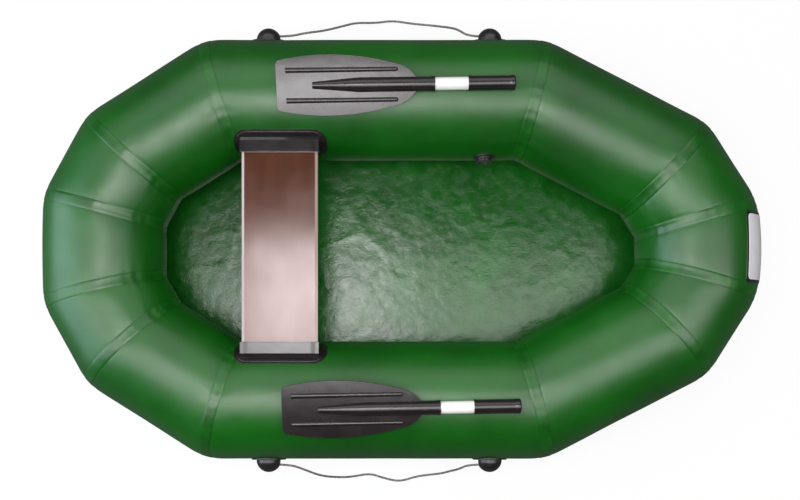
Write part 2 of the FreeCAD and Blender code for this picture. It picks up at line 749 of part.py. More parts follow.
def makeBlade(label):
    body = newBody(label)
    # cambered strip, trimmed to the blade's outline
    camber = newSketch(body, "YZ_Plane", label + "_camber")
    half = "(dims.bladeHalfWidth + dims.overrun / 4)"
    upper = "(dims.bladeCamber + dims.bladeThick / 2)"
    lower = "(dims.bladeCamber - dims.bladeThick / 2)"
    drawOutline(camber, [
        (f"-{half}", f"sqrt({upper} ^ 2 - {half} ^ 2) - dims.bladeCamber", upper, -1),
        (half, f"sqrt({upper} ^ 2 - {half} ^ 2) - dims.bladeCamber"),
        (half, f"sqrt({lower} ^ 2 - {half} ^ 2) - dims.bladeCamber", lower, 1),
        (f"-{half}", f"sqrt({lower} ^ 2 - {half} ^ 2) - dims.bladeCamber"),
    ])
    addPad(body, camber, "dims.bladeLength", "One side")
    outline = newSketch(body, "XY_Plane", label + "_outline")
    wide = "dims.bladeHalfWidth"
    tip = f"({tipWidthShare} * {wide})"
    shoulder = f"({shoulderWidthShare} * {wide})"
    waist = f"({waistWidthShare} * {wide})"
    tipCorner = "dims.bladeTipCorner"
    widestPlace = f"({widestShare} * dims.bladeLength)"
    shoulderPlace = f"({shoulderShare} * dims.bladeLength)"
    waistPlace = f"({waistShare} * dims.bladeLength)"
    # radii of the gentle sides: each side is level where the blade is widest
    tipDrop = f"({wide} - {tip})"
    foreArc = f"(({widestPlace} - {tipCorner}) ^ 2 + {tipDrop} ^ 2) / (2 * {tipDrop})"
    shoulderDrop = f"({wide} - {shoulder})"
    aftArc = f"(({shoulderPlace} - {widestPlace}) ^ 2 + {shoulderDrop} ^ 2) / (2 * {shoulderDrop})"
    shoulderArc = f"{shoulderArcShare} * {shoulder}"
    neckArc = f"{neckArcShare} * {waist}"
    drawOutline(outline, [
        ("0", f"-{tip} + {tipCorner}", tipCorner, 1),
        (tipCorner, f"-{tip}", foreArc, 1),
        (widestPlace, f"-{wide}", aftArc, 1),
        (shoulderPlace, f"-{shoulder}", shoulderArc, 1),
        (waistPlace, f"-{waist}", neckArc, -1),
        ("dims.bladeLength", "-dims.socketRadius / 2"),
        ("dims.bladeLength", "dims.socketRadius / 2", neckArc, -1),
        (waistPlace, waist, shoulderArc, 1),
        (shoulderPlace, shoulder, aftArc, 1),
        (widestPlace, wide, foreArc, 1),
        (tipCorner, tip, tipCorner, 1),
        ("0", f"{tip} - {tipCorner}"),
    ])
    drawOutline(outline, [
        ("-dims.overrun", f"-{half} - dims.overrun"),
        ("dims.bladeLength + dims.overrun", f"-{half} - dims.overrun"),
        ("dims.bladeLength + dims.overrun", f"{half} + dims.overrun"),
        ("-dims.overrun", f"{half} + dims.overrun"),
    ])
    addPocket(body, outline)
    # two round ribs along the blade's middle surface, their tails rounded off
    ribStart = f"({ribStartShare} * dims.bladeLength)"
    ribEnd = f"({ribEndShare} * dims.bladeLength)"
    ribPlace = value(f"{ribPlaceShare} * {wide}")
    ribDrop = value(f"sqrt(dims.bladeCamber ^ 2 - ({ribPlaceShare} * {wide}) ^ 2) - dims.bladeCamber")
    tail = "(dims.ribTailWidth / 2)"
    for ribSide, place in (("left", ribPlace), ("right", -ribPlace)):
        rib = newSketch(body, "XY_Plane", f"{label}_rib_{ribSide}", Placement(Vector(0, place, ribDrop), Rotation()))
        drawOutline(rib, [
            (ribStart, "0"),
            (ribEnd, "0", tail, 1),
            (f"{ribEnd} - {tail}", tail),
            (ribStart, "dims.ribWidth / 2"),
        ])
        addRevolution(body, rib, "H_Axis")
    spine = newSketch(body, "XY_Plane", label + "_spine")
    ringStep = "(dims.collarRadius - dims.socketRadius)"
    drawOutline(spine, [
        (f"{spineStartShare} * dims.bladeLength", "0"),
        (socketEnd, "0"),
        (socketEnd, "dims.collarRadius"),
        (f"{socketEnd} - dims.collarWidth", "dims.collarRadius"),
        (f"{socketEnd} - dims.collarWidth", "dims.socketRadius"),
        (f"{socketEnd} - dims.collarWidth - dims.collarRingGap", "dims.socketRadius"),
        (f"{socketEnd} - dims.collarWidth - dims.collarRingGap", f"dims.socketRadius + {ringStep} / 2"),
        (f"{socketEnd} - dims.collarWidth - dims.collarRingGap - dims.collarRingWidth",
         f"dims.socketRadius + {ringStep} / 2"),
        (f"{socketEnd} - dims.collarWidth - dims.collarRingGap - dims.collarRingWidth", "dims.socketRadius"),
        (f"{spineFullShare} * dims.bladeLength", "dims.socketRadius"),
        (f"{spineStartShare} * dims.bladeLength", "dims.spineRadius"),
    ])
    addRevolution(body, spine, "H_Axis")
    bore = newSketch(body, "YZ_Plane", label + "_bore", Placement(Vector(0, 0, value(socketEnd)), Rotation()))
    drawCircle(bore, "0", "0", "dims.shaftRadius + dims.sleeveSlack")
    addPocket(body, bore, "dims.socketDepth", "One side")
    return body


def makeShaft(label):
    body = newBody(label)
    foot = value(f"{socketEnd} - dims.socketDepth")
    tube = newSketch(body, "YZ_Plane", label + "_section", Placement(Vector(0, 0, foot), Rotation()))
    drawCircle(tube, "0", "0", "dims.shaftRadius")
    drawCircle(tube, "0", "0", "dims.shaftRadius - dims.shaftWall")
    addPad(body, tube, f"{paddleLength} - dims.gripEndWall - {socketEnd} + dims.socketDepth", "One side")
    return body


def makeGrip(label):
    body = newBody(label)
    grip = newSketch(body, "XY_Plane", label + "_profile")
    waist = "(dims.gripRadius - dims.gripFlare)"
    drawOutline(grip, [
        (gripStart, "dims.shaftRadius + dims.sleeveSlack"),
        (f"{paddleLength} - dims.gripEndWall", "dims.shaftRadius + dims.sleeveSlack"),
        (f"{paddleLength} - dims.gripEndWall", "0"),
        (paddleLength, "0"),
        (paddleLength, "dims.gripRadius - dims.gripRound", "dims.gripRound", 1),
        (f"{paddleLength} - dims.gripRound", "dims.gripRadius"),
        (f"{paddleLength} - 2 * dims.gripRound", "dims.gripRadius"),
        (f"{paddleLength} - 3 * dims.gripRound", waist),
        (f"{gripStart} + 2 * dims.gripRound", waist),
        (f"{gripStart} + dims.gripRound", "dims.gripRadius"),
        (gripStart, "dims.gripRadius"),
    ])
    addRevolution(body, grip, "H_Axis")
    return body


def makePaddle(sideName, tip, side, yaw):
    # laid on the tube's top, a little rolled, and swung about the grip's end
    level = tubeLevel + value(f"{ringRadius} + dims.restGap + dims.collarRadius")
    swing = Rotation(Vector(0, 0, 1), yaw)
    gripEnd = Vector(tip + value(paddleLength), side * sideLine, level)
    place = gripEnd - swing.multVec(Vector(value(paddleLength), 0, 0))
    turned = swing.multiply(Rotation(Vector(1, 0, 0), value("dims.paddleRoll")))
    for body in (makeBlade("paddle_blade_" + sideName), makeShaft("paddle_shaft_" + sideName),
                 makeGrip("paddle_grip_" + sideName)):
        body.Placement = Placement(place, turned)


makePaddle("port", seatPlace - value("dims.paddlePortFromSeat"), 1, value("dims.paddlePortYaw"))
makePaddle("starboard", seatPlace - value("dims.paddleStarboardFromSeat"), -1, value("dims.paddleStarboardYaw"))

# Lifelines: slack rope from holder to holder, its middle lying on the ground beside the boat.
# Points of the route after the tunnel's bottom, chosen by hand: along, out from the middle, up.

portRoute = [
    (-258, 592, 143),
    (-213, 609, 109),
    (-168, 636, 65),
    (-127, 662, 24),
    (-72, 668, 4),
    (-22, 675, 4),
    (33, 666, 4),
    (84, 661, 6),
    (114, 648, 33),
    (138, 631, 73),
    (158, 610, 118),
]
starboardRoute = [
    (-262, 594, 138),
    (-222, 617, 103),
    (-183, 629, 61),
    (-141, 636, 19),
    (-88, 628, 4),
    (-50, 641, 4),
    (-2, 652, 5),
    (44, 637, 4),
    (88, 631, 6),
    (117, 623, 34),
    (139, 609, 75),
    (159, 597, 118),
]


def roundedWire(points):
    # straight runs joined by tangent arcs, each as large as its two runs allow
    runShare = 0.45
    edges = []
    radii = []
    start = points[0]
    for before, here, after in zip(points, points[1:], points[2:]):
        back = (before - here).normalize()
        ahead = (after - here).normalize()
        halfTurn = (math.pi - back.getAngle(ahead)) / 2
        setBack = runShare * min(before.distanceToPoint(here), here.distanceToPoint(after))
        radius = setBack / math.tan(halfTurn)
        towards = (back + ahead).normalize()
        middle = here + towards * (radius / math.cos(halfTurn) - radius)
        arcStart = here + back * setBack
        arcEnd = here + ahead * setBack
        edges.append(Part.LineSegment(start, arcStart).toShape())
        edges.append(Part.Arc(arcStart, middle, arcEnd).toShape())
        radii.append(radius)
        start = arcEnd
    edges.append(Part.LineSegment(start, points[-1]).toShape())
    return Part.Wire(edges), radii


def makeLifeline(label, route, side):
    ropeY = sideLine + value(f"{padInner} + dims.ropeOut")
    first = Vector(aftHolderPlace + value("dims.tunnelBottom"), ropeY, tubeLevel)
    last = Vector(foreHolderPlace - value("dims.tunnelBottom"), ropeY, tubeLevel)
    exitRun = Vector(value("dims.ropeExitRun"), 0, 0)
    points = [first, first + exitRun] + [Vector(*place) for place in route] + [last - exitRun, last]
    points = [Vector(point.x, side * point.y, point.z) for point in points]
    path, radii = roundedWire(points)
    radius = value("dims.ropeDiameter / 2")
    heading = points[1] - points[0]
    section = Part.Wire(Part.Circle(points[0], heading, radius).toShape())
    tube = path.makePipeShell([section], True, True)
    feature = doc.addObject("Part::Feature", label)
    feature.Label = label
    feature.Shape = tube
    nodes.append(feature)
    expected = math.pi * radius ** 2 * path.Length
    runs = [before.distanceToPoint(after) for before, after in zip(points, points[1:])]
    print(label, "length", round(path.Length), "volume share", round(tube.Volume / expected, 3))
    print("  runs", [round(run) for run in runs], "radii", [round(number) for number in radii])


makeLifeline("lifeline_port", portRoute, 1)
makeLifeline("lifeline_starboard", starboardRoute, -1)

# Check every feature, then write each piece

doc.recompute()
for thing in doc.Objects:
    if "Invalid" in thing.State or "Error" in thing.State:
        raise RuntimeError(thing.Label + " failed")
os.makedirs("parts", exist_ok=True)
solidVolume = 0
for node in nodes:
    if node.Shape.isNull() or not node.Shape.isValid():
        raise RuntimeError(node.Label + " has no sound shape")
    solidVolume += node.Shape.Volume
for node in nodes:
    node.Shape.exportStep("parts/" + node.Label + ".step")
print(len(nodes), "pieces, solid volume", round(solidVolume / 1e9, 4), "cubic metres")
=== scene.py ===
import bmesh
import bpy
import math
import random
from mathutils import Matrix, Vector, geometry, noise


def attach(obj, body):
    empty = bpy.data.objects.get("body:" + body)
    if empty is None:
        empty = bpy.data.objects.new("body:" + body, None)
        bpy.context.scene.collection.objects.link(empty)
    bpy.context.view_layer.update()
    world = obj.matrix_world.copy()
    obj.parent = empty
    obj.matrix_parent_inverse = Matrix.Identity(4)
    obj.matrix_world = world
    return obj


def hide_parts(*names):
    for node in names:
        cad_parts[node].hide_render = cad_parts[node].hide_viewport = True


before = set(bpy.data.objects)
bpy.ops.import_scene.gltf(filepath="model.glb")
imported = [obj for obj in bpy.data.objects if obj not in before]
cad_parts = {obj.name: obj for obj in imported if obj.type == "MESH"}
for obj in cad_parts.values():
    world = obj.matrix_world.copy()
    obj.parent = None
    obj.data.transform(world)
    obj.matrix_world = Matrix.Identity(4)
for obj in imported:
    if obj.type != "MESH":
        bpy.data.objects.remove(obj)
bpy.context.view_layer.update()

# Inflatable rowing boat, seen from above. Metres; bow +X, port +Y, up +Z, ground at 0.

scene = bpy.context.scene
scene.view_settings.view_transform = "Standard"

sides = (("port", 1), ("starboard", -1))


def addPiece(name, mesh, body):
    piece = bpy.data.objects.new(name, mesh)
    scene.collection.objects.link(piece)
    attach(piece, body)
    return piece


def smoothMesh(name, points, faces):
    mesh = bpy.data.meshes.new(name)
    mesh.from_pydata(points, [], faces)
    mesh.validate()
    mesh.shade_smooth()
    mesh.update()
    return mesh


def gridFaces(rows, columns, closed):
    faces = []
    for row in range(rows - 1):
        for column in range(columns if closed else columns - 1):
            after = (column + 1) % columns
            faces.append((row * columns + column, row * columns + after, (row + 1) * columns + after,
                          (row + 1) * columns + column))
    return faces


def flatMesh(name, halfX, halfY, level):
    points = [(-halfX, -halfY, level), (halfX, -halfY, level),
              (halfX, halfY, level), (-halfX, halfY, level)]
    return smoothMesh(name, points, [(0, 1, 2, 3)])


def workIn(piece):
    # the piece's modifiers become part of its mesh
    made = bpy.data.meshes.new_from_object(piece.evaluated_get(bpy.context.evaluated_depsgraph_get()))
    piece.modifiers.clear()
    piece.data = made


# camera, straight down from a little to starboard and framed back onto the boat
view = {
    "place": (-0.001, -0.2, 2.454),
    "lens": 38.3,
    "sensor": 36,
    "shift": 0.0933,
}


def setCamera():
    eye = bpy.data.cameras.new("view")
    eye.lens = view["lens"]
    eye.sensor_width = view["sensor"]
    eye.shift_y = view["shift"]
    camera = bpy.data.objects.new("view", eye)
    camera.location = view["place"]
    scene.collection.objects.link(camera)
    scene.camera = camera


setCamera()
print("camera set")

# lifelines: three-strand rope, slack from holder to holder, its middle on the ground
rope = {
    "diameter": 0.006,
    "strands": 3,
    "layLength": 0.021,
    "strandDepth": 0.2,  # share of the radius that the grooves between strands take
    "grooveShape": 1.5,  # a larger power makes the grooves narrower
    "pointsRound": 18,
    "step": 0.0016,
    "resolution": 12,
    "aft": (-0.346, 0.5771, 0.1586),  # both ends, in the port holders
    "fore": (0.232, 0.5771, 0.1586),
    "exitRun": 0.048,  # straight run at each end
    "holderFace": 0.021,  # from the rope's end to the face of its holder
    "routes": {
        "port": [
            (-0.258, 0.592, 0.143), (-0.213, 0.609, 0.109), (-0.168, 0.636, 0.065), (-0.127, 0.662, 0.024),
            (-0.072, 0.668, 0.004), (-0.022, 0.675, 0.004), (0.033, 0.666, 0.004), (0.084, 0.661, 0.006),
            (0.114, 0.648, 0.033), (0.138, 0.631, 0.073), (0.158, 0.610, 0.118),
        ],
        "starboard": [
            (-0.262, 0.594, 0.138), (-0.222, 0.617, 0.103), (-0.183, 0.629, 0.061), (-0.141, 0.636, 0.019),
            (-0.088, 0.628, 0.004), (-0.050, 0.641, 0.004), (-0.002, 0.652, 0.005), (0.044, 0.637, 0.004),
            (0.088, 0.631, 0.006), (0.117, 0.623, 0.034), (0.139, 0.609, 0.075), (0.159, 0.597, 0.118),
        ],
    },
}


def ropeLine(knots):
    # smooth line of the rope, read back as a fine row of points
    line = bpy.data.curves.new("rope_line", "CURVE")
    line.dimensions = "3D"
    line.resolution_u = rope["resolution"]
    spline = line.splines.new("NURBS")
    spline.points.add(len(knots) - 1)
    for knot, place in zip(spline.points, knots):
        knot.co = (*place, 1)
    spline.order_u = 3
    spline.use_endpoint_u = True
    holder = bpy.data.objects.new("rope_line", line)
    scene.collection.objects.link(holder)
    bpy.context.view_layer.update()
    drawn = bpy.data.meshes.new_from_object(holder)
    found = [vertex.co.copy() for vertex in drawn.vertices]
    bpy.data.objects.remove(holder)
    bpy.data.meshes.remove(drawn)
    return found


def evenSteps(points, step):
    lengths = [0]
    for before, after in zip(points, points[1:]):
        lengths.append(lengths[-1] + (after - before).length)
    count = round(lengths[-1] / step)
    found = []
    here = 0
    for number in range(count + 1):
        reach = lengths[-1] * number / count
        while here < len(points) - 2 and lengths[here + 1] < reach:
            here += 1
        share = (reach - lengths[here]) / (lengths[here + 1] - lengths[here])
        found.append(points[here].lerp(points[here + 1], min(share, 1)))
    return found, lengths[-1]


def strandPoints(line, length):
    # the strands twisted together: a lobed section that turns along the line
    points = []
    count = rope["pointsRound"]
    across = Vector((0, 1, 0))
    for number, place in enumerate(line):
        ahead = (line[min(number + 1, len(line) - 1)] - line[max(number - 1, 0)]).normalized()
        across = (across - ahead * across.dot(ahead)).normalized()
        up = ahead.cross(across)
        twist = math.tau * number * length / (len(line) - 1) / rope["layLength"]
        for turn in range(count):
            angle = math.tau * turn / count
            lobe = abs(math.sin((angle - twist) * rope["strands"] / 2))
            radius = rope["diameter"] / 2 * (1 - rope["strandDepth"] * (1 - lobe) ** rope["grooveShape"])
            points.append(place + (across * math.cos(angle) + up * math.sin(angle)) * radius)
    return points


def makeLifeline(sideName, side):
    label = "lifeline_" + sideName
    start = Vector(rope["aft"])
    end = Vector(rope["fore"])
    run = Vector((rope["exitRun"], 0, 0))
    knots = [start, start + run, *rope["routes"][sideName], end - run, end]
    knots = [Vector((place[0], side * place[1], place[2])) for place in knots]
    line, length = evenSteps(ropeLine(knots), rope["step"])
    count = rope["pointsRound"]
    faces = gridFaces(len(line), count, True)
    faces.append(tuple(reversed(range(count))))  # the two cut ends
    faces.append(tuple(range((len(line) - 1) * count, len(line) * count)))
    mesh = smoothMesh(label, strandPoints(line, length), faces)
    piece = addPiece(label + "_rope", mesh, "hull")
    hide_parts(label)
    print("lifeline", sideName, "length", round(length, 3))
    return piece


lifelines = [makeLifeline(sideName, side) for sideName, side in sides]

# inflated ring: the shape of its skin, which the tapes and the bow patch follow as well
ring = {
    "length": 1.585,  # these three on the tubes' centreline
    "width": 0.805,
    "level": 0.1586,
    "radius": 0.1575,
    "bow": {"taper": 0.4435, "endRun": 0.166, "alongShare": 0.193, "outShare": 0.422},
    "stern": {"taper": 0.3195, "endRun": 0.212, "alongShare": 0.246, "outShare": 0.484},
    "pointsRound": 132,
    "rowStep": 0.0115,
    "seamRows": (0, 0.005, 0.010, 0.0135, 0.0145, 0.0155, 0.0175, 0.021, 0.026, 0.033, 0.042),
    "seamShare": 0.44,  # the most of a panel's wall that the rows at one seam take
}
seams = {
    "pinch": 0.0012,  # how far the tape draws the tube in
    "pinchReach": 0.030,
    "pucker": 0.0008,
    "puckerReach": 0.034,
    "puckerCycles": (9, 13, 19, 26, 33, 41),  # waves round the tube
    "puckerTop": 2.2,  # about what the waves add up to
    "seed": 100,  # another number gives other puckers
    "outerGather": 0.15,  # share of the puckers that the ring's outer side has
    "grooveDepth": 0.0007,  # beside each edge of the tape
    "grooveWidth": 0.0022,
}
swell = {
    "wave": 0.0009,
    "waveSize": 0.16,
    "waveSink": 0.6,  # the waves lie mostly inside the plain tube
    "waveReach": 0.05,  # they fade out this near to a seam
    "ends": {"tube_bow_end": 0.009, "tube_stern_end": 0.003},  # extra fullness at the middle of the ends
    "endShape": 1.5,  # a larger power keeps it nearer the outermost line
}
tape = {
    "width": 0.029,
    "lift": 0.0009,
    "foot": 0.008,  # the tapes stop this far above the ground
    "rim": -0.0006,  # their edges sink into the skin
    "section": ((0.99, 0.75), (0.93, 1), (0.5, 1.05), (0, 1.1)),  # shares of half the width and the lift
    "pointsRound": 150,
}

tubeNames = ["bow_quarter", "bow_shoulder", "side", "stern_shoulder", "stern_quarter"]
panelNames = [f"tube_{name}_port" for name in tubeNames] + ["tube_stern_end"]
panelNames += [f"tube_{name}_starboard" for name in reversed(tubeNames)] + ["tube_bow_end"]
panelCount = len(panelNames)
cornerNames = ["bow_end", "bow_quarter", "bow_shoulder", "stern_shoulder", "stern_quarter", "stern_end"]
cornerLabels = [name + "_port" for name in cornerNames]
cornerLabels += [name + "_starboard" for name in reversed(cornerNames)]


def ringCorners():
    # from the bow end round by port to the stern, and back by starboard
    found = []
    for end, shape in ((1, ring["bow"]), (-1, ring["stern"])):
        endOut = shape["endRun"] / 2
        sideLine = ring["width"] / 2
        endLine = ring["length"] / 2
        knuckle = (end * (endLine - shape["alongShare"] * shape["taper"]),
                   endOut + shape["outShare"] * (sideLine - endOut))
        places = [(end * endLine, endOut), knuckle, (end * (endLine - shape["taper"]), sideLine)]
        found += places if end > 0 else places[::-1]
    port = [Vector((x, y, ring["level"])) for x, y in found]
    return port + [Vector((place.x, -place.y, place.z)) for place in reversed(port)]


corners = ringCorners()
spans = [corners[(number + 1) % panelCount] - here for number, here in enumerate(corners)]
runs = [span.length for span in spans]
headings = [span.normalized() for span in spans]
halfTurns = [headings[number - 1].angle(headings[number]) / 2 for number in range(panelCount)]


def puckerWaves(number):
    picks = random.Random(seams["seed"] + number)
    return [(cycles, picks.uniform(0, math.tau), picks.uniform(0.5, 1))
            for cycles in seams["puckerCycles"]]


seamWaves = [puckerWaves(number) for number in range(panelCount)]


def seamRelief(number, away, around):
    # how the tube's wall sinks and puckers beside the seam at one corner
    inner = 0.5 - 0.5 * math.cos(around)  # 1 on the inner side of the ring
    gather = seams["outerGather"] + (1 - seams["outerGather"]) * inner
    waves = sum(size * math.sin(cycles * around + start) for cycles, start, size in seamWaves[number])
    ripple = waves / seams["puckerTop"]
    drawn = -seams["pinch"] * math.exp(-(away / seams["pinchReach"]) ** 2)
    pucker = seams["pucker"] * gather
    fade = math.exp(-(away / seams["puckerReach"]) ** 2)
    edge = (away - tape["width"] / 2 - seams["grooveWidth"] / 2) / seams["grooveWidth"]
    groove = -seams["grooveDepth"] * gather * math.exp(-edge ** 2)
    return drawn + pucker * ripple * fade + groove - pucker * fade


def seamReach(number, around, lift=0):
    # how far past its two corners the panel's wall reaches; negative on the inner side
    cosine = math.cos(around)
    reaches = []
    for corner in (number, (number + 1) % panelCount):
        if cosine > 0:
            reaches.append(ring["radius"] * cosine * halfTurns[corner])
        else:
            radius = ring["radius"] + lift + seamRelief(corner, 0, around)
            reaches.append(radius * cosine * math.tan(halfTurns[corner]))
    return reaches


def skinPlace(number, along, around, lift=0):
    # point on one panel's skin; along runs from the panel's first corner, on the tube's own axis,
    # and past it on the outer side, where the wall goes round the corner
    heading = headings[number]
    outward = Vector((heading.y, -heading.x, 0))
    cosine = math.cos(around)
    run = runs[number]
    past = 0
    centre = corners[number] + heading * along
    if cosine > 0 and along < 0:
        past = along
        centre = corners[number]
    elif cosine > 0 and along > run:
        past = along - run
        centre = corners[(number + 1) % panelCount]
    onCrest = cosine < 0.000001  # straight up or down there is no corner to go round
    turn = 0 if onCrest else past / (ring["radius"] * cosine)
    turned = Vector((outward.x * math.cos(turn) - outward.y * math.sin(turn),
                     outward.x * math.sin(turn) + outward.y * math.cos(turn), 0))
    normal = turned * cosine + Vector((0, 0, math.sin(around)))
    startReach, endReach = seamReach(number, around, lift)
    toStart = max(along + startReach, 0)
    toEnd = max(run + endReach - along, 0)
    relief = seamRelief(number, toStart, around) + seamRelief((number + 1) % panelCount, toEnd, around)
    spread = 1 - math.exp(-(min(toStart, toEnd) / swell["waveReach"]) ** 2)
    plain = centre + normal * ring["radius"]
    relief += spread * swell["wave"] * (noise.noise(plain / swell["waveSize"]) - swell["waveSink"])
    if cosine > 0 and panelNames[number] in swell["ends"]:
        share = toStart / (toStart + toEnd)
        full = swell["ends"][panelNames[number]]
        relief += full * math.sin(math.pi * share) * cosine ** swell["endShape"]
    return centre + normal * (ring["radius"] + lift + relief)


def makePanel(number):
    label = panelNames[number]
    count = ring["pointsRound"]
    seamRows = ring["seamRows"]
    plainRows = max(2, round((runs[number] - 2 * seamRows[-1]) / ring["rowStep"]))
    rows = len(seamRows) * 2 + plainRows - 1
    points = []
    for row in range(rows):
        for step in range(count):
            around = math.tau * step / count
            startReach, endReach = seamReach(number, around)
            wall = runs[number] + startReach + endReach
            # the inner side of the end panels is short, so its rows move together
            squeeze = min(1, ring["seamShare"] * wall / seamRows[-1])
            last = seamRows[-1] * squeeze
            if row < len(seamRows):
                away = seamRows[row] * squeeze
            elif row >= rows - len(seamRows):
                away = wall - seamRows[rows - 1 - row] * squeeze
            else:
                away = last + (wall - 2 * last) * (row - len(seamRows) + 1) / plainRows
            points.append(skinPlace(number, away - startReach, around))
    mesh = smoothMesh(label, points, gridFaces(rows, count, True))
    piece = addPiece(label.replace("tube", "skin"), mesh, "hull")
    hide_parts(label)
    return piece


def makeTape(number):
    label = "tape_" + cornerLabels[number]
    lowest = math.asin((tape["foot"] - ring["level"]) / ring["radius"])
    count = tape["pointsRound"]
    half = tape["width"] / 2
    profile = [(-half, tape["rim"])]
    profile += [(-half * out, tape["lift"] * up) for out, up in tape["section"]]
    profile += [(-away, lift) for away, lift in reversed(profile[:-1])]
    points = []
    for step in range(count):
        around = lowest + (math.pi - 2 * lowest) * step / (count - 1)
        for away, lift in profile:
            panel = (number - 1) % panelCount if away < 0 else number
            startReach, endReach = seamReach(panel, around, lift)
            along = runs[panel] + endReach + away if away < 0 else away - startReach
            points.append(skinPlace(panel, along, around, lift))
    faces = [face[::-1] for face in gridFaces(count, len(profile), False)]
    piece = addPiece(label, smoothMesh("seam_" + label, points, faces), "hull")
    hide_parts("seam_" + label)
    return piece


skins = [makePanel(number) for number in range(panelCount)]
print("ring skin made,", sum(len(piece.data.polygons) for piece in skins), "faces")
tapes = [makeTape(number) for number in range(panelCount)]
print("seam tapes made")

# bow patch, left blank: a white face on a wider black border
patch = {
    "width": 0.184,
    "topAngle": 57,  # both angles round the tube, up from its outermost line
    "footAngle": -22,
    "corner": 0.011,
    "border": 0.0075,
    "borderLift": 0.0009,
    "faceLift": 0.00162,
    "rimShare": 0.1,  # share of the lift that is left at the rim
    "rows": 44,
    "columns": 40,
}


def makePatch(node, inset, lift):
    end = panelNames.index("tube_bow_end")
    rows = patch["rows"]
    columns = patch["columns"]
    corner = patch["corner"]
    halfWidth = patch["width"] / 2 - inset
    top = math.radians(patch["topAngle"]) - inset / ring["radius"]
    foot = math.radians(patch["footAngle"]) + inset / ring["radius"]
    halfHeight = (top - foot) / 2 * ring["radius"]
    points = []
    for row in range(rows + 1):
        up = halfHeight * math.cos(math.pi * row / rows)
        around = (top + foot) / 2 + up / ring["radius"]
        fromEdge = min(halfHeight - up, halfHeight + up, corner)
        cut = corner - math.sqrt(max(corner ** 2 - (corner - fromEdge) ** 2, 0))
        for column in range(columns + 1):
            across = (halfWidth - cut) * -math.cos(math.pi * column / columns)
            atRim = row in (0, rows) or column in (0, columns)
            raised = lift * patch["rimShare"] if atRim else lift
            points.append(skinPlace(end, runs[end] / 2 + across, around, raised))
    mesh = smoothMesh(node, points, gridFaces(rows + 1, columns + 1, False))
    piece = addPiece(node + "_sheet", mesh, "hull")
    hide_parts(node)
    return piece


patchBorder = makePatch("bow_patch_border", 0, patch["borderLift"])
patchFace = makePatch("bow_patch_face", patch["border"], patch["faceLift"])
print("bow patch made")

# paddle blades: the moulded camber eases out as a blade lies on the tube
blades = {
    "gripEnd": {"port": (0.286, 0.4025, 0.3354), "starboard": (0.300, -0.4025, 0.3354)},
    "yaw": {"port": 0.8, "starboard": 1.1},
    "roll": 9,
    "camber": 0.420,
    "ease": 0.62,  # share of the camber that goes
    "settle": {"port": 4.6, "starboard": 0.6},  # degrees it rolls on about the shaft
    "weld": 0.00002,  # points closer than this become one
    "edge": 0.0009,  # rounding of the edges
    "edgeSteps": 2,
    "edgeAngle": 40,  # what turns more than this is rounded
    "sharpAngle": 32,  # and what turns more than this is shaded as an edge
}


def easeBlade(sideName, mesh):
    # less camber across the blade, and a slight roll about its shaft
    place = Matrix.Translation(blades["gripEnd"][sideName])
    turned = Matrix.Rotation(math.radians(blades["yaw"][sideName]), 4, "Z")
    rolled = Matrix.Rotation(math.radians(blades["roll"]), 4, "X")
    into = (place @ turned @ rolled).inverted()
    out = place @ turned @ rolled @ Matrix.Rotation(math.radians(blades["settle"][sideName]), 4, "X")
    for vertex in mesh.vertices:
        spot = into @ vertex.co
        across = min(abs(spot.y), blades["camber"])
        spot.z += blades["ease"] * (blades["camber"] - math.sqrt(blades["camber"] ** 2 - across ** 2))
        vertex.co = out @ spot
    shape = bmesh.new()
    shape.from_mesh(mesh)
    bmesh.ops.remove_doubles(shape, verts=shape.verts, dist=blades["weld"])
    shape.to_mesh(mesh)
    shape.free()
    mesh.update()


def makeBlade(sideName):
    node = "paddle_blade_" + sideName
    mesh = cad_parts[node].data.copy()
    easeBlade(sideName, mesh)
    mesh.shade_smooth()
    mesh.set_sharp_from_angle(angle=math.radians(blades["sharpAngle"]))
    piece = addPiece(node + "_moulded", mesh, "paddle_" + sideName)
    rounded = piece.modifiers.new("edge", "BEVEL")
    rounded.width = blades["edge"]
    rounded.segments = blades["edgeSteps"]
    rounded.limit_method = "ANGLE"
    rounded.angle_limit = math.radians(blades["edgeAngle"])
    faired = piece.modifiers.new("faired", "WEIGHTED_NORMAL")
    faired.weight = 100  # the wide faces lead the shading
    faired.keep_sharp = True
    workIn(piece)
    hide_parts(node)
    return piece


bladePieces = [makeBlade(sideName) for sideName, side in sides]
print("blades made")

# floor: a loose sheet glued under the tubes, creased by a short cloth run
floorSheet = {
    "flap": 0.012,  # how far the sheet goes past the tubes' lowest line
    "hold": 0.030,  # the sheet is glued this far in from the lowest line
    "spacing": 0.0105,
    "scatter": 0.2,  # share of the spacing that points are moved by
    "edgeShare": 0.6,  # share of the spacing that they keep from the edge
    "seed": 7,  # another number gives other creases
    "weld": 0.00001,
    "level": 0.001,
    "uneven": 0.0006,  # small heights that the creases start from
    "spare": 0.012,  # share by which the sheet is larger than its place
    "settle": 0.17,  # share of the creases' height left once the boat has lain a while
    "thick": 0.0009,
    "highest": 0.011,
    "lowest": 0.0002,
    "clearance": 0.0012,  # kept between the sheet and the tubes' plain round
    "tight": 0.0005,  # with less room than this the sheet is pressed flat
    "pressed": 0.0006,
}
clothRun = {
    "frames": 34,
    "quality": 7,
    "mass": 0.08,
    "stretch": 30,
    "shear": 10,
    "bending": 0.35,
    "air": 1.5,
    "gap": 0.0008,
    "ground": (1, 0.6, -0.0005),  # half its length and width, and its level
    "groundGap": 0.001,
}


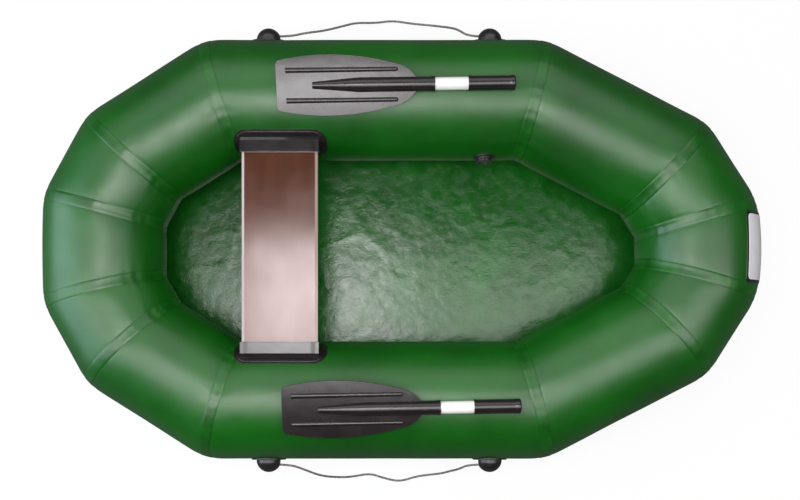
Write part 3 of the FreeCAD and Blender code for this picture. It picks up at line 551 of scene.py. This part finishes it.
def fromRing(place):
    # distance from the ring's centreline, positive inside it
    gaps = []
    inside = True
    for number, corner in enumerate(corners):
        heading = headings[number]
        offset = place - corner
        along = min(max(offset.x * heading.x + offset.y * heading.y, 0), runs[number])
        gaps.append(Vector((offset.x - heading.x * along, offset.y - heading.y * along)).length)
        inside = inside and heading.x * offset.y - heading.y * offset.x > 0
    return min(gaps) if inside else -min(gaps)


def floorOutline():
    found = []
    for number, corner in enumerate(corners):
        heading = headings[number]
        before = headings[number - 1]
        out = (Vector((heading.y, -heading.x)) + Vector((before.y, -before.x))).normalized()
        reach = floorSheet["flap"] / math.cos(halfTurns[number])
        found.append(Vector((corner.x + out.x * reach, corner.y + out.y * reach)))
    return found


def makeFloorMesh(outline):
    # scattered points inside the outline, joined into triangles
    step = floorSheet["spacing"]
    places = []
    for number, start in enumerate(outline):
        end = outline[(number + 1) % len(outline)]
        count = max(1, round((end - start).length / step))
        places += [start.lerp(end, share / count) for share in range(count)]
    edgeCount = len(places)
    edges = [(number, (number + 1) % edgeCount) for number in range(edgeCount)]
    picks = random.Random(floorSheet["seed"])
    scatter = floorSheet["scatter"]
    rowHeight = step * math.sqrt(3) / 2
    rows = math.ceil((ring["width"] / 2 + floorSheet["flap"]) / rowHeight)
    columns = math.ceil((ring["length"] / 2 + floorSheet["flap"]) / step)
    for row in range(-rows, rows + 1):
        for column in range(-columns, columns + 1):
            x = (column + 0.5 * (row % 2)) * step
            y = row * rowHeight
            if fromRing(Vector((x, y, 0))) > -floorSheet["flap"] + step * floorSheet["edgeShare"]:
                aside = picks.uniform(-scatter, scatter) * step
                places.append(Vector((x + aside, y + picks.uniform(-scatter, scatter) * step)))
    insideOnly = 1
    flat, _, faces, *_ = geometry.delaunay_2d_cdt(places, edges, [], insideOnly, floorSheet["weld"])
    points = [(place.x, place.y, floorSheet["level"] + floorSheet["uneven"] * picks.random())
              for place in flat]
    mesh = smoothMesh("floor_sheet", points, [tuple(face) for face in faces])
    if mesh.polygons[0].normal.z < 0:
        mesh.flip_normals()
    return mesh


def creaseFloor(piece):
    # the sheet is a little too large for its place, so it buckles upward off the ground
    held = piece.vertex_groups.new(name="held")
    held.add([vertex.index for vertex in piece.data.vertices if fromRing(vertex.co) < floorSheet["hold"]],
             1, "REPLACE")
    ground = bpy.data.objects.new("cloth_ground", flatMesh("cloth_ground", *clothRun["ground"]))
    scene.collection.objects.link(ground)
    hit = ground.modifiers.new("hit", "COLLISION")
    ground.collision.thickness_outer = clothRun["groundGap"]
    cloth = piece.modifiers.new("crease", "CLOTH")
    cloth.settings.quality = clothRun["quality"]
    cloth.settings.mass = clothRun["mass"]
    cloth.settings.tension_stiffness = clothRun["stretch"]
    cloth.settings.compression_stiffness = clothRun["stretch"]
    cloth.settings.shear_stiffness = clothRun["shear"]
    cloth.settings.bending_stiffness = clothRun["bending"]
    cloth.settings.air_damping = clothRun["air"]
    cloth.settings.shrink_min = -floorSheet["spare"]
    cloth.settings.vertex_group_mass = "held"
    cloth.collision_settings.distance_min = clothRun["gap"]
    cloth.collision_settings.use_self_collision = False
    cloth.point_cache.frame_start = 1
    cloth.point_cache.frame_end = clothRun["frames"]
    for number in range(1, clothRun["frames"] + 1):
        scene.frame_set(number)
    bpy.context.view_layer.update()
    workIn(piece)
    ground.modifiers.remove(hit)
    bpy.data.objects.remove(ground)
    scene.frame_set(1)
    piece.vertex_groups.clear()


def settledHeight(vertex):
    # creases lower than the cloth run leaves them, and clear of the tubes
    gap = min(fromRing(vertex.co), ring["radius"])
    tubeFoot = ring["level"] - math.sqrt(max(ring["radius"] ** 2 - gap ** 2, 0))
    ceiling = min(max(tubeFoot - floorSheet["clearance"], floorSheet["lowest"]), floorSheet["highest"])
    crease = (vertex.co.z - floorSheet["level"]) * floorSheet["settle"]
    height = max(floorSheet["level"] + crease, floorSheet["lowest"])
    if ceiling > floorSheet["tight"]:
        return ceiling * math.tanh(height / ceiling)
    return floorSheet["pressed"]


def makeFloor():
    outline = floorOutline()
    piece = addPiece("floor_cloth", makeFloorMesh(outline), "hull")
    creaseFloor(piece)
    for vertex in piece.data.vertices:
        vertex.co.z = settledHeight(vertex)
    thicken = piece.modifiers.new("thick", "SOLIDIFY")
    thicken.thickness = floorSheet["thick"]
    thicken.offset = 1
    workIn(piece)
    piece.data.shade_smooth()
    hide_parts("floor_sheet")
    return piece


floorPiece = makeFloor()


class NodeSet:
    # the nodes of one material or world
    def __init__(self, owner):
        owner.use_nodes = True
        self.nodes = owner.node_tree.nodes
        self.links = owner.node_tree.links

    def feed(self, value, socket):
        # a colour or number is set on the socket, another node's output is linked to it
        if isinstance(value, bpy.types.NodeSocket):
            self.links.new(value, socket)
        else:
            socket.default_value = (*value, 1) if isinstance(value, tuple) else value

    def spread(self, source, low, high, first, last):
        reach = self.nodes.new("ShaderNodeMapRange")
        reach.inputs["From Min"].default_value = low
        reach.inputs["From Max"].default_value = high
        reach.inputs["To Min"].default_value = first
        reach.inputs["To Max"].default_value = last
        self.links.new(source, reach.inputs["Value"])
        return reach.outputs["Result"]

    def blend(self, share, first, second):
        mix = self.nodes.new("ShaderNodeMix")
        mix.data_type = "RGBA"
        for value, number in ((share, 0), (first, 6), (second, 7)):  # its sockets for two colours
            self.feed(value, mix.inputs[number])
        return mix.outputs[2]

    def reckon(self, way, first, second):
        node = self.nodes.new("ShaderNodeMath")
        node.operation = way
        self.feed(first, node.inputs[0])
        self.feed(second, node.inputs[1])
        return node.outputs[0]


class Finish(NodeSet):
    # one material being put together from its look
    def __init__(self, name, look):
        self.material = bpy.data.materials.new(name)
        super().__init__(self.material)
        self.look = look
        self.shader = self.nodes["Principled BSDF"]
        self.shader.inputs["Specular IOR Level"].default_value = look["specular"]
        self.place = self.nodes.new("ShaderNodeTexCoord").outputs["Object"]
        self.bump = None

    def stretched(self, scale):
        mapping = self.nodes.new("ShaderNodeMapping")
        mapping.inputs["Scale"].default_value = scale
        self.links.new(self.place, mapping.inputs["Vector"])
        return mapping.outputs["Vector"]

    def grain(self, scale, detail, rough=0.55, distortion=0, stretch=None):
        texture = self.nodes.new("ShaderNodeTexNoise")
        texture.inputs["Scale"].default_value = scale
        texture.inputs["Detail"].default_value = detail
        texture.inputs["Roughness"].default_value = rough
        texture.inputs["Distortion"].default_value = distortion
        self.links.new(self.stretched(stretch) if stretch else self.place, texture.inputs["Vector"])
        return texture.outputs["Fac"]

    def mottle(self):
        low, high = self.look["patchRange"]
        first, last = self.look["colours"]
        ramp = self.nodes.new("ShaderNodeValToRGB")
        ramp.color_ramp.elements[0].position = low
        ramp.color_ramp.elements[1].position = high
        ramp.color_ramp.elements[0].color = (*first, 1)
        ramp.color_ramp.elements[1].color = (*last, 1)
        self.links.new(self.grain(*self.look["patches"]), ramp.inputs["Fac"])
        return ramp.outputs["Color"]

    def colour(self, value):
        self.feed(value, self.shader.inputs["Base Color"])

    def wear(self):
        # uneven gloss where the look has a grain for it
        roughness = self.look["roughness"]
        if "wear" in self.look:
            grain = self.grain(*self.look["wear"])
            roughness = self.spread(grain, *self.look["wearRange"], *roughness)
        self.feed(roughness, self.shader.inputs["Roughness"])

    def bumps(self):
        # the coarsest first, each on the one before
        for grain, height, strength in self.look["bumps"]:
            bump = self.nodes.new("ShaderNodeBump")
            bump.inputs["Distance"].default_value = height
            bump.inputs["Strength"].default_value = strength
            self.links.new(self.grain(*grain), bump.inputs["Height"])
            if self.bump:
                self.links.new(self.bump, bump.inputs["Normal"])
            self.bump = bump.outputs["Normal"]
            self.links.new(self.bump, self.shader.inputs["Normal"])

    def softEdges(self, radius):
        edge = self.nodes.new("ShaderNodeBevel")
        edge.samples = 4
        edge.inputs["Radius"].default_value = radius
        self.bump = edge.outputs["Normal"]
        self.links.new(self.bump, self.shader.inputs["Normal"])

    def onto(self, *pieces):
        for piece in pieces:
            if isinstance(piece, str):
                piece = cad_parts[piece]
            piece.data.materials.clear()
            piece.data.materials.append(self.material)


# finishes: in each look a grain is scale, detail, roughness, distortion and stretch, as far as it
# needs them, and a bump is a grain, its height and its strength
boatFabric = {
    "colours": ((0.0008, 0.064, 0.0012), (0.0024, 0.112, 0.0022)),
    "patches": (3.2, 4),
    "patchRange": (0.32, 0.70),
    "specular": 0.8,
    "roughness": (0.36, 0.44),
    "wear": (16, 5, 0.6),
    "wearRange": (0.3, 0.7),
    "bumps": [((14, 2), 0.0014, 0.35), ((75, 3), 0.0004, 0.25), ((1400, 2), 0.00008, 0.35)],
}
tapeFabric = {
    "colours": ((0.0009, 0.066, 0.0014), (0.0028, 0.116, 0.0026)),
    "patches": (20, 4),
    "patchRange": (0.3, 0.7),
    "specular": 0.8,
    "roughness": (0.34, 0.44),
    "wear": (20, 4),
    "wearRange": (0.3, 0.7),
    "bumps": [((60, 4, 0.6), 0.0004, 0.20), ((1400, 2), 0.00008, 0.35)],
}
floorFabric = {
    "colours": ((0.0014, 0.060, 0.0020), (0.006, 0.120, 0.0075)),
    "patches": (6, 5, 0.6),
    "patchRange": (0.3, 0.72),
    "specular": 0.58,
    "roughness": (0.14, 0.26),
    "wear": (30, 4),
    "wearRange": (0.3, 0.7),
    "bumps": [((30, 3, 0.6, 0.5), 0.0018, 0.30), ((85, 4, 0.6, 1.4), 0.0008, 0.45),
              ((260, 3, 0.6), 0.00025, 0.4)],
}
ropeYarn = {
    "colours": ((0.10, 0.09, 0.085), (0.34, 0.31, 0.29)),
    "patches": (260, 3),
    "patchRange": (0.3, 0.7),
    "specular": 0.3,
    "roughness": 0.7,
    "bumps": [((2600, 2, 0.55, 0, (1, 1, 0.4)), 0.0003, 0.8)],
}


def makeFinish(name, look):
    finish = Finish(name, look)
    if look.get("softEdge"):
        finish.softEdges(look["softEdge"])
    finish.colour(finish.mottle())
    finish.wear()
    finish.bumps()
    return finish


makeFinish("boat_fabric", boatFabric).onto(*skins)
makeFinish("seam_tape", tapeFabric).onto(*tapes)
makeFinish("floor_fabric", floorFabric).onto(floorPiece)
makeFinish("rope", ropeYarn).onto(*lifelines)

# seat board: a red-brown film on plywood, worn through to the wood on its bevels
plywood = {
    "colours": ((0.062, 0.019, 0.007), (0.084, 0.028, 0.012)),
    "patches": (7, 5, 0.6, 0, (4, 0.8, 1)),
    "patchRange": (0.3, 0.72),
    "specks": (520, 2),
    "speckRange": (0.58, 0.70),
    "speckShare": 0.18,
    "speckColour": (0.15, 0.07, 0.05),
    "bareRange": (0.97, 0.93),  # a face's direction along Z, from filmed to bare
    "bareColour": (0.40, 0.30, 0.27),
    "specular": 0.78,
    "specularTint": (1.0, 0.86, 0.87),
    "coat": 0.45,
    "coatTint": (1.0, 0.93, 0.93),
    "coatRoughness": 0.13,
    "roughness": (0.15, 0.24),
    "wear": (12, 4),
    "wearRange": (0.3, 0.7),
    "bumps": [((5, 3), 0.003, 0.12), ((700, 2), 0.00004, 0.3)],
}


def makePlywood():
    finish = Finish("film_faced_plywood", plywood)
    finish.feed(plywood["specularTint"], finish.shader.inputs["Specular Tint"])
    finish.feed(plywood["coat"], finish.shader.inputs["Coat Weight"])
    finish.feed(plywood["coatTint"], finish.shader.inputs["Coat Tint"])
    finish.feed(plywood["coatRoughness"], finish.shader.inputs["Coat Roughness"])
    dots = finish.grain(*plywood["specks"])
    specks = finish.spread(dots, *plywood["speckRange"], 0.0, plywood["speckShare"])
    film = finish.blend(specks, finish.mottle(), plywood["speckColour"])
    lean = finish.nodes.new("ShaderNodeSeparateXYZ")
    shape = finish.nodes.new("ShaderNodeNewGeometry")
    finish.links.new(shape.outputs["True Normal"], lean.inputs[0])
    bare = finish.spread(lean.outputs["Z"], *plywood["bareRange"], 0.0, 1.0)
    finish.colour(finish.blend(bare, film, plywood["bareColour"]))
    finish.wear()
    finish.bumps()
    return finish


makePlywood().onto("seat_board")

# moulded rubber and plastic: thick mouldings have slow waves in their gloss
moulded = {
    "patches": (22, 3),
    "patchRange": (0.25, 0.75),
    "specular": 0.85,
    "wear": (18, 3),
    "wearRange": (0.25, 0.75),
    "waves": (16, 2),
    "waveStrength": 0.5,
    "fine": ((700, 2), 0.00003, 0.25),
}
mouldedLooks = {
    "seat_rubber": {
        "colours": ((0.012, 0.009, 0.010), (0.018, 0.014, 0.016)),
        "roughness": (0.18, 0.25),
        "softEdge": 0.002,
        "waveHeight": 0.0010,
    },
    "rope_holder_rubber": {
        "colours": ((0.010, 0.008, 0.009), (0.020, 0.017, 0.018)),
        "roughness": (0.26, 0.4),
        "softEdge": 0.0008,
        "waveHeight": 0.0012,
    },
    "valve_plastic": {
        "colours": ((0.012, 0.011, 0.012), (0.024, 0.021, 0.022)),
        "roughness": (0.3, 0.42),
        "softEdge": 0.0006,
    },
    "blade_plastic": {
        "colours": ((0.012, 0.008, 0.009), (0.020, 0.014, 0.016)),
        "specular": 0.72,
        "roughness": (0.22, 0.30),
        "waveHeight": 0.0012,
    },
    "shaft_tube": {
        "colours": ((0.86, 0.85, 0.80), (0.92, 0.91, 0.88)),
        "roughness": (0.2, 0.28),
        "softEdge": 0.0003,
    },
    "patch_black": {
        "colours": ((0.006, 0.006, 0.006), (0.012, 0.012, 0.012)),
        "roughness": (0.3, 0.4),
        "softEdge": 0.0002,
    },
    "patch_white": {
        "colours": ((0.74, 0.74, 0.78), (0.80, 0.80, 0.83)),
        "roughness": (0.3, 0.4),
        "softEdge": 0.0002,
    },
}


def makeMoulded(name):
    look = {**moulded, **mouldedLooks[name]}
    look["bumps"] = [moulded["fine"]]
    if "waveHeight" in look:
        look["bumps"].insert(0, (moulded["waves"], look["waveHeight"], moulded["waveStrength"]))
    return makeFinish(name, look)


def bothSides(*names):
    return [f"{name}_{sideName}" for name in names for sideName, side in sides]


makeMoulded("seat_rubber").onto(*bothSides("seat_holder", "seat_pad"))
makeMoulded("rope_holder_rubber").onto(*bothSides("rope_holder_aft", "rope_holder_fore"))
makeMoulded("valve_plastic").onto(*bothSides("valve_base", "valve_cap"))
makeMoulded("blade_plastic").onto(*bladePieces, *bothSides("paddle_grip"))
makeMoulded("shaft_tube").onto(*bothSides("paddle_shaft"))
makeMoulded("patch_black").onto(patchBorder)
makeMoulded("patch_white").onto(patchFace)
print("finishes on")

# studio: a pale floor, four soft lamps and a white world
studio = {
    "floor": (16, 16, -0.0004),  # half its length and width, and its level
    "floorColour": (0.10, 0.10, 0.10),
    "floorSeen": (0.97, 0.97, 0.97),
    "floorGlow": 0.90,  # share of plain white that the camera sees in the floor
    "shadowReach": (0.9, 2.0),  # over this distance from the middle that share rises to all
    "floorMirrored": 0.04,  # share of white that gloss sees in the floor
    "floorLook": {"specular": 0.1, "roughness": 0.9},
    "worldLight": 0.02,
    "rimTop": 0.22,  # gloss sees a pale rim up to this height of the view's direction
    "rimLight": 0.12,
    "lamps": {
        # place, size along X and Y, radiance, colour, point aimed at
        "softbox": ((0.1, -0.415, 2.47), (6.0, 1.25), 3.5, (1.0, 0.99, 0.985), (0.1, -0.415, 0)),
        "spot": ((-0.40, -0.02, 2.465), (0.76, 0.58), 6.4, (1.0, 0.97, 0.975), (-0.40, 0.0, 0)),
        "overhead": ((0.0, 1.98, 2.3), (5.0, 1.9), 1.2, (1.0, 1.0, 1.0), (0, 0, 0.2)),
        "window": ((-3.9, -0.2, 1.9), (3.0, 3.2), 3.4, (0.72, 0.86, 1.0), (0, 0, 0.9)),
    },
}


def addLamps():
    for name, (place, size, radiance, colour, target) in studio["lamps"].items():
        light = bpy.data.lights.new(name, "AREA")
        light.shape = "RECTANGLE"
        light.size, light.size_y = size
        light.energy = radiance * math.pi * size[0] * size[1]
        light.color = colour
        lamp = bpy.data.objects.new(name, light)
        lamp.location = place
        aim = Vector(target) - Vector(place)
        lamp.rotation_euler = aim.to_track_quat("-Z", "Y").to_euler()
        lamp.visible_camera = False
        scene.collection.objects.link(lamp)


def mirroredRays(kit, ray):
    return kit.reckon("MAXIMUM", ray.outputs["Is Glossy Ray"], ray.outputs["Is Transmission Ray"])


def addStudioFloor():
    # nearly white to the camera, and part of that in gloss, so the shadow stays
    piece = bpy.data.objects.new("studio_floor", flatMesh("studio_floor", *studio["floor"]))
    scene.collection.objects.link(piece)
    finish = Finish("studio_floor", studio["floorLook"])
    finish.wear()
    ray = finish.nodes.new("ShaderNodeLightPath")
    finish.colour(finish.blend(ray.outputs["Is Camera Ray"], studio["floorColour"], studio["floorSeen"]))
    reach = finish.nodes.new("ShaderNodeVectorMath")
    reach.operation = "LENGTH"
    finish.links.new(finish.place, reach.inputs[0])
    white = finish.spread(reach.outputs["Value"], *studio["shadowReach"], studio["floorGlow"], 1.0)
    seen = finish.reckon("MULTIPLY", ray.outputs["Is Camera Ray"], white)
    mirrored = finish.reckon("MULTIPLY", mirroredRays(finish, ray), studio["floorMirrored"])
    glow = finish.nodes.new("ShaderNodeEmission")
    both = finish.nodes.new("ShaderNodeMixShader")
    finish.links.new(finish.reckon("MAXIMUM", seen, mirrored), both.inputs[0])
    finish.links.new(finish.shader.outputs[0], both.inputs[1])
    finish.links.new(glow.outputs[0], both.inputs[2])
    finish.links.new(both.outputs[0], finish.nodes["Material Output"].inputs["Surface"])
    finish.onto(piece)


def setWorld():
    # white behind the boat, a pale rim low down in gloss, and very little light
    world = bpy.data.worlds.new("studio")
    kit = NodeSet(world)
    ray = kit.nodes.new("ShaderNodeLightPath")
    heading = kit.nodes.new("ShaderNodeTexCoord")
    axes = kit.nodes.new("ShaderNodeSeparateXYZ")
    kit.links.new(heading.outputs["Generated"], axes.inputs[0])
    rim = kit.spread(axes.outputs["Z"], studio["rimTop"], 0.0, studio["worldLight"], studio["rimLight"])
    mirrored = kit.reckon("MULTIPLY", mirroredRays(kit, ray), rim)
    seen = kit.reckon("MAXIMUM", ray.outputs["Is Camera Ray"], mirrored)
    background = kit.nodes["Background"]
    kit.feed(kit.reckon("MAXIMUM", seen, studio["worldLight"]), background.inputs["Strength"])
    kit.feed((1, 1, 1), background.inputs["Color"])
    scene.world = world


addLamps()
addStudioFloor()
setWorld()
print("studio lit")
